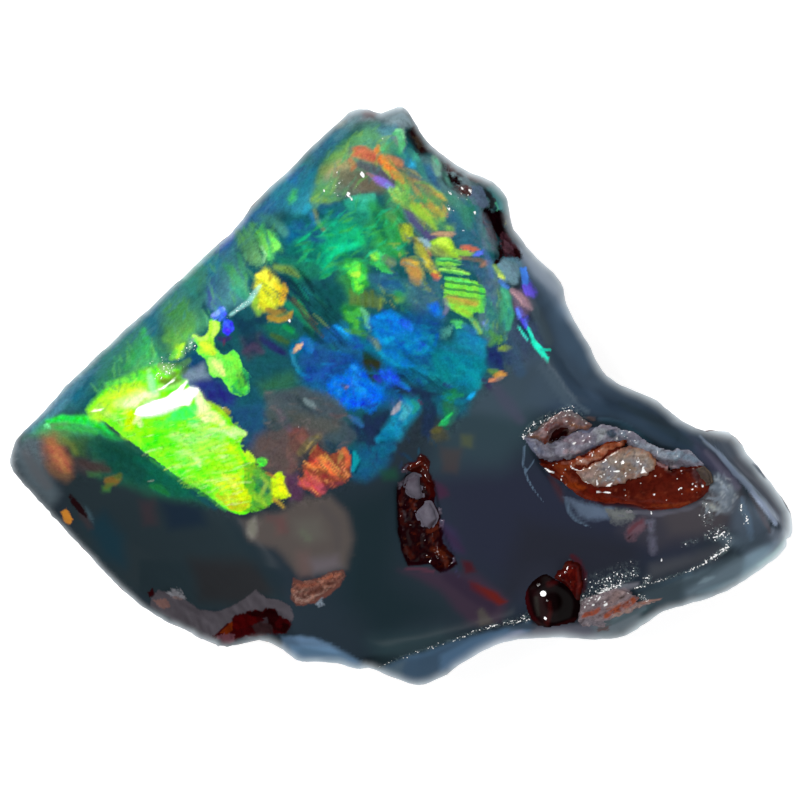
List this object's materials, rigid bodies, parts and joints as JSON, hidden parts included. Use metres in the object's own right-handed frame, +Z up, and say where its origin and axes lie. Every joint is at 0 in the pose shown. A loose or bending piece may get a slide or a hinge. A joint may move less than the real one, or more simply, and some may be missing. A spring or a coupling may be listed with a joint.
{
  "type": "rough opal",
  "caption": "Rough black opal with a rubbed, glossy, gently crowned face, ground bevels, natural flanks and a flat back to rest on.",
  "frame": {"origin": "middle of the stone's box in plan, on the surface it rests on", "axes": "+X along the stone's longest extent, towards the end with the worn pocket; +Z up, out of the rubbed face, along its shortest extent"},
  "size_m": [0.026, 0.019, 0.0075],
  "materials": {
    "opal": "glossy where it is rubbed, satin on the natural flanks"
  },
  "bodies": {
    "root": {"rough_opal": "opal"}
  },
  "joints": []
}
